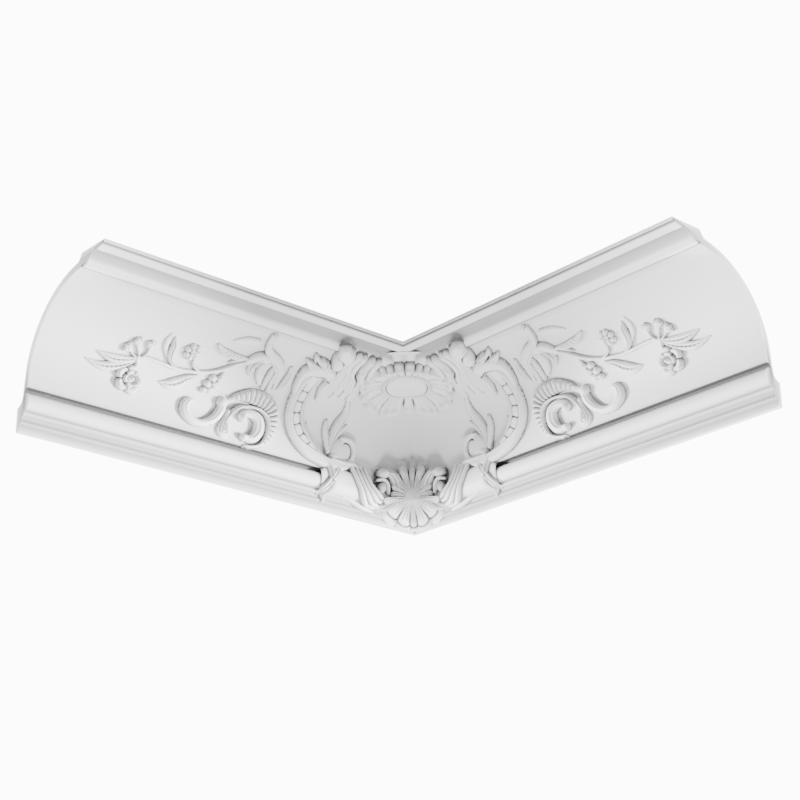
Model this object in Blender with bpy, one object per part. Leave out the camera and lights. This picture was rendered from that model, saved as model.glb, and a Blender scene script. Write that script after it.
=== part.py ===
"""Ceiling cornice, inside-corner element.

A coved moulding is swept along two arms that meet on the mitre of a room corner, and its rococo relief
is cast in one with it. The origin is on the ceiling land, on the mitre. The left arm runs along -X
against a wall that faces -Y, the right arm runs along -Y, and the ceiling is the plane z = 0.

The relief is drawn in millimetres on two charts, one of the cove and one of the roll below it. A chart
point is (along, up): along the arm from the room corner, and up the surface from its foot.
"""
import math

import bmesh
import bpy
import numpy as np

MM = 0.001

# Driving dimensions of the moulding, in metres
DROP = 0.140
PROJECTION = 0.130
ARM_LENGTH = 0.470
COVE_RADIUS = 0.0843
COVE_CENTRE_OUT = 0.1008
COVE_CENTRE_DOWN = 0.098
SHELL = 0.007
CEILING_LAND = 0.036
WALL_LAND = 0.023

# The roll under the cove, an ellipse in section
ROLL_OUT = 0.0115
ROLL_DOWN = 0.113
ROLL_HALF_DEPTH = 0.0084
ROLL_HALF_HEIGHT = 0.0100
ROLL_SWEEP = math.radians(80)
ROLL_GIRTH = 0.026
FOOT_OUT = 0.0095

# The origin lies in the middle of the ceiling land, so the room corner is this far along +X and +Y
CORNER = PROJECTION - CEILING_LAND / 2

# A raised piece is sunk into the shell by this much at its edge and under its middle, in millimetres
EDGE_SINK = 1.2
SEAT_SINK = 2.6
ROLL_SEAT_SINK = 6.0

# How far the valley of the mitre is filled behind the medallion and behind the palmette
VALLEY_FILL = 0.010
FOOT_FILL = 0.006

PLASTER_WHITE = (0.86, 0.86, 0.85, 1.0)

# Sections of a carved stroke, as (place across from -1 to 1, share of the height)
ROUND = ((-1, 0), (-0.5, 0.9), (0.5, 0.9), (1, 0))
RIDGED = ((-1, 0), (0, 1), (1, 0))
VEINED = ((-1, 0), (-0.5, 1), (0, 0.5), (0.5, 1), (1, 0))
CHANNELLED = ((-1, 0), (-0.7, 1), (-0.35, 0.45), (0.35, 0.4), (0.75, 0.8), (1, 0))


def on_arm(side, along, out, z):
    """Turn a place on an arm into the part's frame. The two arms mirror each other on the mitre."""
    if side == "left":
        return (CORNER - along, CORNER - out, z)
    return (CORNER - out, CORNER - along, z)


def on_cove(side, along, up, height):
    """A place on the cove's face, with a height above it towards the room, all in millimetres."""
    angle = up * MM / COVE_RADIUS
    reach = COVE_RADIUS - height * MM
    out = COVE_CENTRE_OUT - reach * math.cos(angle)
    z = -COVE_CENTRE_DOWN + reach * math.sin(angle)
    return on_arm(side, along * MM, out, z)


def on_roll(side, along, up, height):
    """A place on the lower members: up is counted from the roll's foot, in millimetres. Over the roll's
    lower half the chart follows it, above that it rises straight past the quirk to the cove, and below
    the roll it goes down the foot members."""
    half_girth = ROLL_GIRTH / MM / 2
    if up >= half_girth:
        out = ROLL_OUT + ROLL_HALF_DEPTH + height * MM
        return on_arm(side, along * MM, out, -ROLL_DOWN + (up - half_girth) * MM)
    if up < -1:
        return on_arm(side, along * MM, FOOT_OUT + height * MM, -ROLL_DOWN - ROLL_HALF_HEIGHT + up * MM)
    angle = ROLL_SWEEP * (up / half_girth - 1)
    out = ROLL_OUT + (ROLL_HALF_DEPTH + height * MM) * math.cos(angle)
    z = -ROLL_DOWN + (ROLL_HALF_HEIGHT + height * MM) * math.sin(angle)
    return on_arm(side, along * MM, out, z)


def arc(centre, radii, start, end, steps):
    """Points on an ellipse arc in the section plane, angles in degrees."""
    angles = np.radians(np.linspace(start, end, steps))
    return [(centre[0] + radii[0] * math.cos(a), centre[1] + radii[1] * math.sin(a)) for a in angles]


def section():
    """The moulding's section as (out from the wall, z), anticlockwise from the front of the ceiling."""
    cove_centre = (COVE_CENTRE_OUT, -COVE_CENTRE_DOWN)
    back_radius = COVE_RADIUS + SHELL
    top_members = [
        (PROJECTION, 0.0), (PROJECTION - 0.0008, -0.0028), (0.1250, -0.0050), (0.1190, -0.0063),
        (0.1165, -0.0052), (0.1150, -0.0034), (0.1105, -0.0052), (0.1077, -0.0082), (0.1062, -0.0116),
        (0.1040, -0.0136), (0.1004, -0.0148), (0.0966, -0.0138),
    ]
    cove = arc(cove_centre, (COVE_RADIUS, COVE_RADIUS), 94, 182.4, 23)
    roll = arc((ROLL_OUT, -ROLL_DOWN), (ROLL_HALF_DEPTH, ROLL_HALF_HEIGHT), 80, -80, 11)
    foot_members = [
        (0.0130, -0.1250), (0.0092, -0.1271), (0.0086, -0.1295), (0.0092, -0.1323), (0.0052, -0.1340),
        (0.0050, -DROP), (0.0, -DROP),
    ]
    wall_hook = [(0.0, WALL_LAND - DROP), (0.0031, -0.1163), (0.0069, -0.1127), (0.0084, -0.1080)]
    back = arc(cove_centre, (back_radius, back_radius), 177, 100, 15)
    ceiling_hook = [(0.0888, -0.0071), (0.0920, -0.0031), (PROJECTION - CEILING_LAND, 0.0)]
    return top_members + cove + roll + foot_members + wall_hook + back + ceiling_hook


def closed_mesh(name, rows):
    """A closed mesh from loops of points: quads between one loop and the next, a cap on each end."""
    shape = bmesh.new()
    loops = [[shape.verts.new(point) for point in row] for row in rows]
    count = len(rows[0])
    for here, there in zip(loops, loops[1:]):
        for k in range(count):
            after = (k + 1) % count
            shape.faces.new((here[k], here[after], there[after], there[k]))
    shape.faces.new(loops[0])
    shape.faces.new(loops[-1])
    shape.normal_update()
    bmesh.ops.triangulate(shape, faces=shape.faces[:])
    bmesh.ops.recalc_face_normals(shape, faces=shape.faces[:])
    mesh = bpy.data.meshes.new(name)
    shape.to_mesh(mesh)
    shape.free()
    return mesh


def raised(relief, name, rows):
    """A raised piece, kept as a guide in the relief collection and united with the moulding later."""
    guide = bpy.data.objects.new(name, closed_mesh(name, rows))
    guide.hide_render = True
    guide.display_type = "WIRE"
    relief.objects.link(guide)
    return guide


def smooth_path(points, stations):
    """A smooth curve through the points (Catmull-Rom), read at equal steps of its length."""
    knots = np.array(points, float)
    knots = np.vstack((2 * knots[0] - knots[1], knots, 2 * knots[-1] - knots[-2]))
    fine = []
    for a, b, c, d in zip(knots, knots[1:], knots[2:], knots[3:]):
        for t in np.linspace(0, 1, 12, endpoint=False):
            fine.append(0.5 * (2 * b + (c - a) * t + (2 * a - 5 * b + 4 * c - d) * t * t
                               + (3 * b - a - 3 * c + d) * t ** 3))
    fine = np.array(fine + [knots[-2]])
    lengths = np.concatenate(([0], np.cumsum(np.linalg.norm(np.diff(fine, axis=0), axis=1))))
    places = np.linspace(0, lengths[-1], stations)
    return np.column_stack([np.interp(places, lengths, fine[:, axis]) for axis in (0, 1)])


def spread(values, stations):
    """Values given at equal steps of a path, read at its stations."""
    return np.interp(np.linspace(0, 1, stations), np.linspace(0, 1, len(values)), values)


def lifted(share, height):
    """The height of a point of a raised piece: one with no share of it is sunk as an edge."""
    return share * height if share else -EDGE_SINK


def stroke(relief, side, name, points, half_width, height, shape=RIDGED, stations=8, surface=on_cove):
    """A carved stroke along a path on a chart: one section, with its width and height along the way."""
    centre = smooth_path(points, stations)
    tangent = np.gradient(centre, axis=0)
    tangent /= np.linalg.norm(tangent, axis=1)[:, None]
    across = np.column_stack((-tangent[:, 1], tangent[:, 0]))
    seat = ROLL_SEAT_SINK if surface is on_roll else SEAT_SINK
    rows = []
    for place, normal, wide, tall in zip(centre, across, spread(half_width, stations),
                                         spread(height, stations)):
        row = []
        for offset, share in shape:
            along, up = place + normal * wide * offset
            row.append(surface(side, along, up, lifted(share, tall)))
        row.append(surface(side, place[0], place[1], -seat))
        rows.append(row)
    raised(relief, name + "_" + side, rows)


def dome(relief, side, name, centre, radii, height, lobes=0, turn=0.0, around=7, surface=on_cove,
         dish=1.0):
    """A round or lobed boss on a chart: rings that close in as they rise. dish is its centre's height."""
    seat = ROLL_SEAT_SINK if surface is on_roll else SEAT_SINK
    rows = []
    for radius, share in ((1.0, None), (0.8, 0.75), (0.35, dish)):
        row = []
        for k in range(around):
            angle = 2 * math.pi * k / around
            swell = 1 + 0.18 * math.cos(lobes * angle) * (radius > 0.4) if lobes else 1
            x = radii[0] * radius * swell * math.cos(angle)
            y = radii[1] * radius * swell * math.sin(angle)
            along = centre[0] + x * math.cos(turn) - y * math.sin(turn)
            up = centre[1] + x * math.sin(turn) + y * math.cos(turn)
            row.append(surface(side, along, up, -seat if share is None else height * share))
        rows.append(row)
    raised(relief, name + "_" + side, rows)


def on_canopy(aside, inward, height):
    """A place on the soffit over the mitre. aside is measured from the mitre plane, inward is how far
    the foot of it stands from both walls. The valley between the coves is filled by a smooth minimum."""
    along = inward + aside * math.sqrt(0.5)
    out = inward - aside * math.sqrt(0.5)
    nearest = (along + out - math.hypot(along - out, VALLEY_FILL)) / 2
    off_centre = min(max(COVE_CENTRE_OUT - nearest, 0), COVE_RADIUS)
    z = -COVE_CENTRE_DOWN + math.sqrt(COVE_RADIUS ** 2 - off_centre ** 2)
    return on_arm("left", along, out, z - height)


def on_foot(aside, z, height):
    """A place on the lower members at the mitre, from their hull, with the same filled valley."""
    hull = np.interp(-z, (0.060, 0.080, 0.100, 0.118, 0.131, 0.140), (0.024, 0.020, 0.0195, 0.0195, 0.011, 0.007))
    inward = float(hull) + math.hypot(aside * math.sqrt(0.5), FOOT_FILL) + height * math.sqrt(0.5)
    half = aside * math.sqrt(0.5)
    return on_arm("left", inward + half, inward - half, z)


def corner_disc(relief, name, surface, centre, radii, rings, lobes, swell, around, phase=0.0):
    """A lobed disc draped over the mitre. rings are (radius share, height) from its back to its middle,
    and a lobe both widens the rim and lifts the petal."""
    rows = []
    for radius, height in rings:
        row = []
        for k in range(around):
            angle = 2 * math.pi * (k + 0.5) / around
            wave = abs(math.cos(lobes * (angle - phase) / 2)) - 0.6 if lobes else 0
            lobed = radius * (1 + swell * wave * (radius > 0.7))
            lift = height * (1 + 0.6 * wave * (0.5 < radius < 0.97))
            row.append(surface(radii[0] * lobed * math.cos(angle),
                               centre + radii[1] * lobed * math.sin(angle), lift))
        rows.append(row)
    raised(relief, name, rows)


def moulding():
    """The bare moulding: its section at the end of each arm and on the mitre between them."""
    outline = section()
    rows = [
        [on_arm("left", ARM_LENGTH, out, z) for out, z in outline],
        [on_arm("left", out, out, z) for out, z in outline],
        [on_arm("right", ARM_LENGTH, out, z) for out, z in outline],
    ]
    cornice = bpy.data.objects.new("cornice_corner", closed_mesh("cornice_corner", rows))
    bpy.context.scene.collection.objects.link(cornice)
    return cornice


def great_scroll(relief, side):
    """The C-scroll beside the corner: a channelled band that winds into a volute."""
    path = [(121, 28), (111, 29), (105, 21), (109, 9), (122, 2), (142, 2), (158, 6), (172, 17), (180, 31),
            (184, 46), (184, 60), (182, 73), (177, 88)]
    stroke(relief, side, "great_scroll", path, (1.5, 3, 3.5, 4.5, 5.5, 6, 7, 8.5, 10, 11.5, 11.5, 11, 8),
           (5, 7, 8, 8, 7, 6), CHANNELLED, 21)
    dome(relief, side, "volute_eye", (119, 19), (9, 8.5), 7)


def scroll_leaves(relief, side):
    """The two leaves that rise inside the C-scroll."""
    stroke(relief, side, "long_leaf", [(138, 10), (131, 30), (125, 44), (121, 57), (126, 67)],
           (4, 4, 5, 5, 3.5, 0.4), (5, 6, 7, 5, 3))
    stroke(relief, side, "short_leaf", [(136, 12), (141, 24), (142, 36), (147, 42)], (2.5, 3.5, 3.2, 0.5),
           (5, 6, 5, 3), stations=5)


def knob(relief, side):
    """The rolled leaf where the C-scroll meets the upper members, and the leaves that hang under it."""
    stroke(relief, side, "rolled_leaf", [(158, 104), (168, 112), (181, 114), (193, 108)],
           (4, 9, 9, 4, 1), (8, 12, 12, 9, 5), ROUND, 6)
    stroke(relief, side, "scroll_leaf", [(169, 88), (178, 93), (189, 95), (199, 88)], (3, 8, 8, 5, 1),
           (8, 10, 9, 7, 4), stations=6)
    for k in range(2):
        stroke(relief, side, "fold_%d" % k,
               [(150 - 9 * k, 116), (149 - 9 * k, 104), (143 - 9 * k, 90), (133 - 9 * k, 80)],
               (5, 5.5, 5.5, 3), (9, 9, 8, 7), stations=5)
    stroke(relief, side, "low_fold", [(166, 92), (158, 84), (148, 78), (138, 76)], (6, 6, 5, 3),
           (9, 9, 8, 6), stations=5)


def s_scroll(relief, side):
    """The S-shaped leaf beyond the C-scroll, its curled head and the acanthus tuft under it."""
    stroke(relief, side, "s_leaf", [(262, 121), (256, 121), (254, 111), (248, 100), (236, 93), (224, 87),
                                    (218, 76)], (1.5, 2.5, 4, 6, 7, 7, 5), (5, 6, 6, 7, 7, 6, 4), stations=11)
    for k, tip in enumerate(((205, 77), (208, 62), (221, 57), (236, 62))):
        stroke(relief, side, "tuft_%d" % k, [(227, 84), ((227 + tip[0]) / 2 + 1, (84 + tip[1]) / 2), tip],
               (4, 5, 4.5, 2), (6, 7, 6, 3), stations=4)
    stroke(relief, side, "hanging_leaf", [(240, 92), (249, 84), (254, 75), (255, 65)], (3, 4.5, 4, 1.5),
           (5, 6, 5, 3), stations=5)
    stroke(relief, side, "back_leaf", [(256, 88), (266, 96), (274, 106), (270, 113)], (4, 5, 4, 1.5),
           (3, 3, 2.5, 1.5), stations=5)


def fan(relief, side):
    """The shell fan: ribs that stand across an arched band, with an inner volute and a foot."""
    ribs = 10
    heights = [3.5 if k % 2 else 7.5 for k in range(2 * ribs + 1)]
    stroke(relief, side, "fan", [(261, 31), (256, 39), (246, 45), (235, 47), (223, 47), (213, 44), (206, 37),
                                 (205, 27), (207, 16), (214, 7)],
           (3, 6, 7, 7.5, 8, 7.5, 6.5, 6, 5, 4), heights, stations=2 * ribs + 1)
    stroke(relief, side, "fan_volute", [(236, 0), (226, 5), (219, 14), (219, 25), (227, 32), (238, 32),
                                        (246, 26), (241, 20)],
           (1.5, 4, 5.5, 5.5, 4.5, 4, 3.5, 2.5), (4, 6, 7, 7, 6, 6, 6, 5), stations=12)
    stroke(relief, side, "fan_foot", [(256, 26), (260, 17), (263, 6)], (2, 4, 6), (5, 6, 5), stations=4)


def small_scroll(relief, side):
    """The small C-scroll beyond the fan, curled at both ends."""
    stroke(relief, side, "small_scroll", [(272, 29), (267, 33), (264, 26), (266, 17), (275, 9), (288, 4),
                                          (301, 4), (311, 11), (314, 21), (309, 28), (302, 25)],
           (2, 3, 4, 4, 4, 3.8, 3.8, 3.6, 3.4, 3, 2.2), (5, 6, 6, 6, 6, 6, 6, 6, 6, 5, 5), stations=16)


def spray(relief, side):
    """The spray of flowers: its stem, berries, leaves, buds, rose and the twin leaves at its end."""
    stroke(relief, side, "stem", [(252, 84), (268, 72), (284, 61), (304, 54), (324, 51), (346, 52), (363, 54),
                                  (372, 49)], (2.8, 2.5, 2.2, 2, 1.8, 1.8, 1.6, 1.4), (4.5, 4, 3.5, 3.5, 3),
           stations=11)
    stroke(relief, side, "twisted_bud", [(263, 82), (275, 85), (290, 85), (304, 87)], (2, 3.6, 3.2, 0.8),
           (3, 5, 4.5, 2), stations=5)
    dome(relief, side, "berries", (318, 71.5), (9, 9), 5.5, lobes=6, around=12)
    stroke(relief, side, "upright_leaf", [(335, 52), (340, 59), (340, 69), (342, 80)], (1.2, 2.4, 4, 1),
           (3, 4, 5, 2.5), stations=5)
    stroke(relief, side, "low_leaf", [(309, 52), (316, 42), (326, 35), (340, 35)], (1.5, 4, 4, 0.8),
           (3, 4.5, 4.5, 2), stations=6)
    stroke(relief, side, "flower_stalk", [(275, 66), (280, 54)], (1.4, 1.6), (3, 3), stations=3)
    dome(relief, side, "low_flower", (284.5, 47.6), (9.5, 8), 5, lobes=5, around=15, dish=0.6)
    for k, place in enumerate(((361.4, 65), (374.6, 64.6), (381.6, 57))):
        dome(relief, side, "bud_%d" % k, place, (5, 3.8), 4.5, turn=0.8 * k, around=6)
    dome(relief, side, "rose", (371.8, 29), (14, 13), 6, lobes=5, around=15, dish=0.6)
    dome(relief, side, "rose_heart", (372.8, 31), (6, 5.5), 8.5, around=6)
    stroke(relief, side, "upper_twin", [(366, 52), (382, 46.5), (396, 44.5), (411, 45.8)], (1.4, 3.2, 3.4, 0.6),
           (3, 4, 4.5, 2), stations=5)
    stroke(relief, side, "lower_twin", [(367, 51), (385, 41), (402, 36.5), (419, 36)], (1.4, 3.2, 3.6, 0.6),
           (3, 4, 4.5, 2), stations=6)


def roll_acanthus(relief, side):
    """The acanthus that wraps the roll beside the palmette, with its cuff, its scroll and its knob."""
    stroke(relief, side, "cuff", [(132, -3), (129, 8), (127, 20), (131, 31)], (4.5, 5.5, 5, 3.5), (3, 4, 4, 3),
           stations=6, surface=on_roll)
    stroke(relief, side, "acanthus", [(126, 14), (108, 13), (88, 12), (66, 8), (52, 12)],
           (14, 13, 11, 7, 5), (3.5, 4.5, 5, 5, 5), VEINED, 7, on_roll)
    stroke(relief, side, "upper_lobe", [(104, 22), (92, 27), (80, 22), (68, 12)], (3, 6, 5, 3), (3, 5, 5, 4),
           stations=5, surface=on_roll)
    stroke(relief, side, "roll_scroll", [(72, 4), (56, 6), (47, 14), (48, 25), (59, 28)], (3, 4.5, 4.5, 4, 3),
           (4, 6, 7, 8, 8), ROUND, 7, on_roll)
    dome(relief, side, "roll_knob", (60, 29), (6, 6), 10, surface=on_roll)


def medallion(relief):
    """The medallion at the head of the mitre: a boss in a rim, a ring of petals, and an arch above."""
    corner_disc(relief, "medallion_petals", on_canopy, 0.0860, (0.0500, 0.0370),
                ((0.2, -0.0045), (0.6, -0.0045), (0.9, -0.0045), (1.0, -0.001), (0.92, 0.0045), (0.72, 0.0065), (0.5, 0.004), (0.15, 0.004)),
                13, 0.16, 39, math.pi / 2)
    corner_disc(relief, "medallion_boss", on_canopy, 0.0890, (0.0240, 0.0155),
                ((0.2, -0.002), (0.9, -0.002), (1.0, 0.005), (0.93, 0.0085), (0.75, 0.007), (0.4, 0.0105), (0.1, 0.011)),
                0, 0.0, 16)
    corner_disc(relief, "medallion_arch", on_canopy, 0.1065, (0.0230, 0.0090),
                ((0.2, -0.0055), (0.9, -0.0055), (1.0, 0.001), (0.85, 0.004), (0.45, 0.002), (0.1, 0.002)),
                9, 0.1, 27, math.pi / 2)


def palmette(relief):
    """The palmette at the foot of the mitre: a bulging shell with lobes round it."""
    corner_disc(relief, "palmette", on_foot, -0.1070, (0.0300, 0.0300),
                ((0.2, -0.009), (0.85, -0.009), (1.0, -0.002), (0.92, 0.004), (0.7, 0.006), (0.4, 0.010), (0.1, 0.011)),
                11, 0.14, 33, math.pi / 2)


def plaster_finish():
    """The matte white of a primed casting."""
    material = bpy.data.materials.new("primed_white")
    material.use_nodes = True
    shader = material.node_tree.nodes["Principled BSDF"]
    shader.inputs["Base Color"].default_value = PLASTER_WHITE
    shader.inputs["Roughness"].default_value = 0.6
    shader.inputs["Metallic"].default_value = 0.0
    material.diffuse_color = PLASTER_WHITE
    return material


def main():
    for old in list(bpy.data.objects):
        bpy.data.objects.remove(old)
    relief = bpy.data.collections.new("relief")
    bpy.context.scene.collection.children.link(relief)
    cornice = moulding()
    for side in ("left", "right"):
        for group in (great_scroll, scroll_leaves, knob, s_scroll, fan, small_scroll, spray, roll_acanthus):
            group(relief, side)
    medallion(relief)
    palmette(relief)
    union = cornice.modifiers.new("relief", "BOOLEAN")
    union.operation = "UNION"
    union.solver = "EXACT"
    union.operand_type = "COLLECTION"
    union.collection = relief
    cornice.data.materials.append(plaster_finish())


main()
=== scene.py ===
"""The finished ceiling cornice: a coved moulding on an inside corner with its carved rococo relief.

The moulding is a section carried along both arms. The relief is a height field on a chart of the cove,
of the lower members, or of the mitre, cut stroke by stroke as a carver would, and trimmed to what stands
proud. Chart sizes are in millimetres, along the arm from the room corner and up from the cove's foot.
"""
import math

import bpy
import numpy as np
from mathutils import Matrix, Vector


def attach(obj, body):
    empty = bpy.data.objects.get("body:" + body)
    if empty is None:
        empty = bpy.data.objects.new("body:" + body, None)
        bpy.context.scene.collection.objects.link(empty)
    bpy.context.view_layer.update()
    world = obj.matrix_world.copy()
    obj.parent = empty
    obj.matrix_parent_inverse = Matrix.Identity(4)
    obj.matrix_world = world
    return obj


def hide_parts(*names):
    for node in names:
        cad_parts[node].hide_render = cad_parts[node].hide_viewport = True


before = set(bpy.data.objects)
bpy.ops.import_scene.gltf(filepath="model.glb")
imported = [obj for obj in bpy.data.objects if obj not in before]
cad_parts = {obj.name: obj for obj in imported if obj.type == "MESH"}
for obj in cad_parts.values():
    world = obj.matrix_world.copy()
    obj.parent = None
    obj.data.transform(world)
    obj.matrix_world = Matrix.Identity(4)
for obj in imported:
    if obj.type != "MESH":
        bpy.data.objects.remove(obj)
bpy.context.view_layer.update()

bl_info = {
    "name": "Ceiling Cornice",
    "version": (1, 0, 0),
    "blender": (4, 5, 0),
    "location": "View3D > Sidebar > Cornice",
    "description": "Builds an inside-corner cornice with carved relief, its finish and a studio",
    "category": "Add Mesh",
}

BODY = "root"
NODE = "cornice_corner"
MM = 0.001
SIDES = ("left", "right")

# The moulding's driving sizes, in metres, as the solid has them
DROP = 0.140
PROJECTION = 0.130
ARM_LENGTH = 0.470
COVE_RADIUS = 0.0843
COVE_CENTRE_OUT = 0.1008
COVE_CENTRE_DOWN = 0.098
SHELL = 0.007
CEILING_LAND = 0.036
WALL_LAND = 0.023
ROLL_OUT = 0.0115
ROLL_DOWN = 0.1143
ROLL_HALF_DEPTH = 0.0084
ROLL_HALF_HEIGHT = 0.0087
ROLL_SWEEP = math.radians(80)
ROLL_GIRTH = 0.026
FOOT_OUT = 0.0095
FOOT_BLEND = 0.003
CORNER = PROJECTION - CEILING_LAND / 2
HALF = math.sqrt(0.5)

# How the relief is cut, in millimetres: cell of the height field, depth of its skirt, slope of its edge,
# and the height above which a cell is kept
CELL = 0.5
SKIRT = 1.4
EDGE_SLOPE = 2.4
KEEP_ABOVE = -0.9
STATIONS = 121
STATION_STRIDE = 3

# The charts' windows in millimetres: along the arm, then up
SCROLLS_WINDOW = ((96, 210), (-8, 156))
FLOWERS_WINDOW = ((210, 432), (-8, 130))
ACANTHUS_WINDOW = ((18, 142), (-14, 42))

# The two forms on the mitre in millimetres: the place of the middle, then the reach to the side, down
# and up. The disc runs past its rim by the factor DISC_OVERRUN, and the mitre's valley is rounded by its
# fill, which is in metres on the cove
MEDALLION_MIDDLE = 90.0
MEDALLION_REACH = (50.0, 33.5, 26.0)
PALMETTE_MIDDLE = -114.0
PALMETTE_REACH = (31.5, 25.0, 38.0)
DISC_SKIRT = 7.0
DISC_OVERRUN = 1.25
VALLEY_FILL = 0.010
FOOT_VALLEY_FILL = 6.0
FOOT_CLEARANCE = 0.4

# The hull of the foot: depth under the ceiling and how far it stands out from the wall, in millimetres
HULL_DOWN = (60, 80, 100, 118, 131, 140)
HULL_OUT = (24, 20, 19.5, 19.5, 11, 7)

# Edges of the moulding that turn by more than this stay crisp
SHARP_ANGLE = math.radians(28)

# The cove's chart runs straight on under the upper members above this height, in millimetres
CHART_TOP = 124.0


def on_arm(side, along, out, z):
    """Places on an arm, as an array of points in the part's frame."""
    along, out, z = np.broadcast_arrays(along, out, z)
    if side == "left":
        return np.stack((CORNER - along, CORNER - out, z), -1)
    return np.stack((CORNER - out, CORNER - along, z), -1)


def on_cove(side, along, up, height):
    """Cove chart: angle = up / radius, and a height shortens the radius. Past the chart's top the place
    goes straight out under the upper members and the height counts downwards."""
    rise = np.minimum(up, CHART_TOP)
    beyond = (up - rise) * MM
    angle = rise * MM / COVE_RADIUS
    reach = COVE_RADIUS - height * MM
    out = COVE_CENTRE_OUT - reach * np.cos(angle) + beyond
    z = -COVE_CENTRE_DOWN + reach * np.sin(angle)
    return on_arm(side, along * MM, out, z)


def on_roll(side, along, up, height):
    """Lower chart: over the roll's lower half it follows the ellipse, above it rises straight past the
    quirk, and below it goes down the foot members."""
    half_girth = ROLL_GIRTH / MM / 2
    angle = ROLL_SWEEP * (np.clip(up, 0, half_girth) / half_girth - 1)
    out = ROLL_OUT + (ROLL_HALF_DEPTH + height * MM) * np.cos(angle)
    z = -ROLL_DOWN + (ROLL_HALF_HEIGHT + height * MM) * np.sin(angle)
    over = np.maximum(up - half_girth, 0) * MM
    under = np.clip(-up * MM, 0, None)
    blend = np.clip(under / FOOT_BLEND, 0, 1)
    foot_out = FOOT_OUT + height * MM
    foot_z = -ROLL_DOWN - ROLL_HALF_HEIGHT - under
    out = out * (1 - blend) + foot_out * blend
    z = (z + over) * (1 - blend) + foot_z * blend
    return on_arm(side, along * MM, out, z)


def on_canopy(aside, inward, height):
    """Chart over the head of the mitre: the coves' soffit with its valley filled by a smooth minimum.
    aside is measured from the mitre plane and inward from both walls, in millimetres."""
    along = (inward + aside * HALF) * MM
    out = (inward - aside * HALF) * MM
    nearest = (along + out - np.hypot(along - out, VALLEY_FILL)) / 2
    off_centre = np.clip(COVE_CENTRE_OUT - nearest, 0, COVE_RADIUS)
    z = -COVE_CENTRE_DOWN + np.sqrt(COVE_RADIUS ** 2 - off_centre ** 2)
    return on_arm("left", along, out, z - height * MM)


def on_foot(aside, z, height):
    """Chart over the foot of the mitre: the hull of the lower members with a filled valley, no lower than
    the foot itself."""
    z = np.maximum(z, FOOT_CLEARANCE - DROP / MM)
    hull = np.interp(-z, HULL_DOWN, HULL_OUT)
    inward = hull + np.hypot(aside * HALF, FOOT_VALLEY_FILL) + height * HALF
    half = aside * HALF
    return on_arm("left", (inward + half) * MM, (inward - half) * MM, z * MM)


def arc(centre, radii, start, end, steps):
    """Points on an arc of an ellipse, with the angles in degrees."""
    angles = np.radians(np.linspace(start, end, steps))
    return np.column_stack((centre[0] + radii[0] * np.cos(angles),
                            centre[1] + radii[1] * np.sin(angles)))


def bend(points, steps=8):
    """A smooth run through the points (Catmull-Rom) for a moulded member."""
    return smooth_path(points, steps * (len(points) - 1) + 1)


def section():
    """The moulding's section as runs of (out from the wall, z), one smooth run for each member."""
    cove_centre = (COVE_CENTRE_OUT, -COVE_CENTRE_DOWN)
    back_radius = COVE_RADIUS + SHELL
    fascia = [(PROJECTION, 0.0), (PROJECTION - 0.0008, -0.0028)]
    fascia_quirk = [(0.1285, -0.0029), (0.1281, -0.0014), (0.1271, -0.0016)]
    ovolo = bend([(0.1268, -0.0038), (0.1250, -0.0050), (0.1190, -0.0063), (0.1165, -0.0052)])
    quirk = [(0.1150, -0.0034)]
    cyma = bend([(0.1150, -0.0036), (0.1105, -0.0050), (0.1077, -0.0082), (0.1062, -0.0116),
                 (0.1040, -0.0139), (0.1004, -0.0151), (0.0969, -0.0149)])
    cove_quirk = [(0.0966, -0.0122), (0.0952, -0.0122)]
    cove = arc(cove_centre, (COVE_RADIUS, COVE_RADIUS), 94.3, 182.4, 90)
    quirk_under = [(0.0160, -0.1019), (0.0120, -0.1024), (0.0118, -0.1050)]
    roll = arc((ROLL_OUT, -ROLL_DOWN), (ROLL_HALF_DEPTH, ROLL_HALF_HEIGHT), 92, -80, 34)
    foot = [(0.0130, -0.1250), (0.0092, -0.1271)]
    scotia = bend([(0.0092, -0.1273), (0.0084, -0.1295), (0.0092, -0.1323)], 5)
    plinth = [(0.0052, -0.1340), (0.0050, -DROP), (0.0, -DROP), (0.0, WALL_LAND - DROP)]
    wall_hook = bend([(0.0031, -0.1163), (0.0069, -0.1127), (0.0084, -0.1080)], 4)
    back = arc(cove_centre, (back_radius, back_radius), 177, 100, 40)
    ceiling_hook = [(0.0888, -0.0071), (0.0920, -0.0031), (PROJECTION - CEILING_LAND, 0.0)]
    return np.vstack((fascia, fascia_quirk, ovolo, quirk, cyma, cove_quirk, cove, quirk_under, roll, foot,
                      scotia, plinth, wall_hook, back, ceiling_hook))


def section_painted_shade(outline, reach=0.010):
    """How open each place of the section lies: what the walls within reach, on both sides of it, leave of
    the half-circle in front of it. The finish paints shade into the colour where it is low, as in the quirks."""
    ahead = np.roll(outline, -1, axis=0) - np.roll(outline, 1, axis=0)
    ahead /= np.linalg.norm(ahead, axis=1, keepdims=True)
    away = outline[None] - outline[:, None]
    distance = np.linalg.norm(away, axis=2)
    along = (away * ahead[:, None]).sum(2)
    # The outline runs with the solid on its right, so the open side is on its left
    rise = away[..., 1] * ahead[:, None, 0] - away[..., 0] * ahead[:, None, 1]
    angle = np.where((distance < reach) & (distance > 1e-6), np.arctan2(rise, np.abs(along)), 0.0)
    before = np.where(along < 0, angle, 0.0).max(axis=1)
    after = np.where(along > 0, angle, 0.0).max(axis=1)
    return np.clip(1 - (before + after) / (0.9 * math.pi), 0, 1) ** 2


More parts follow.
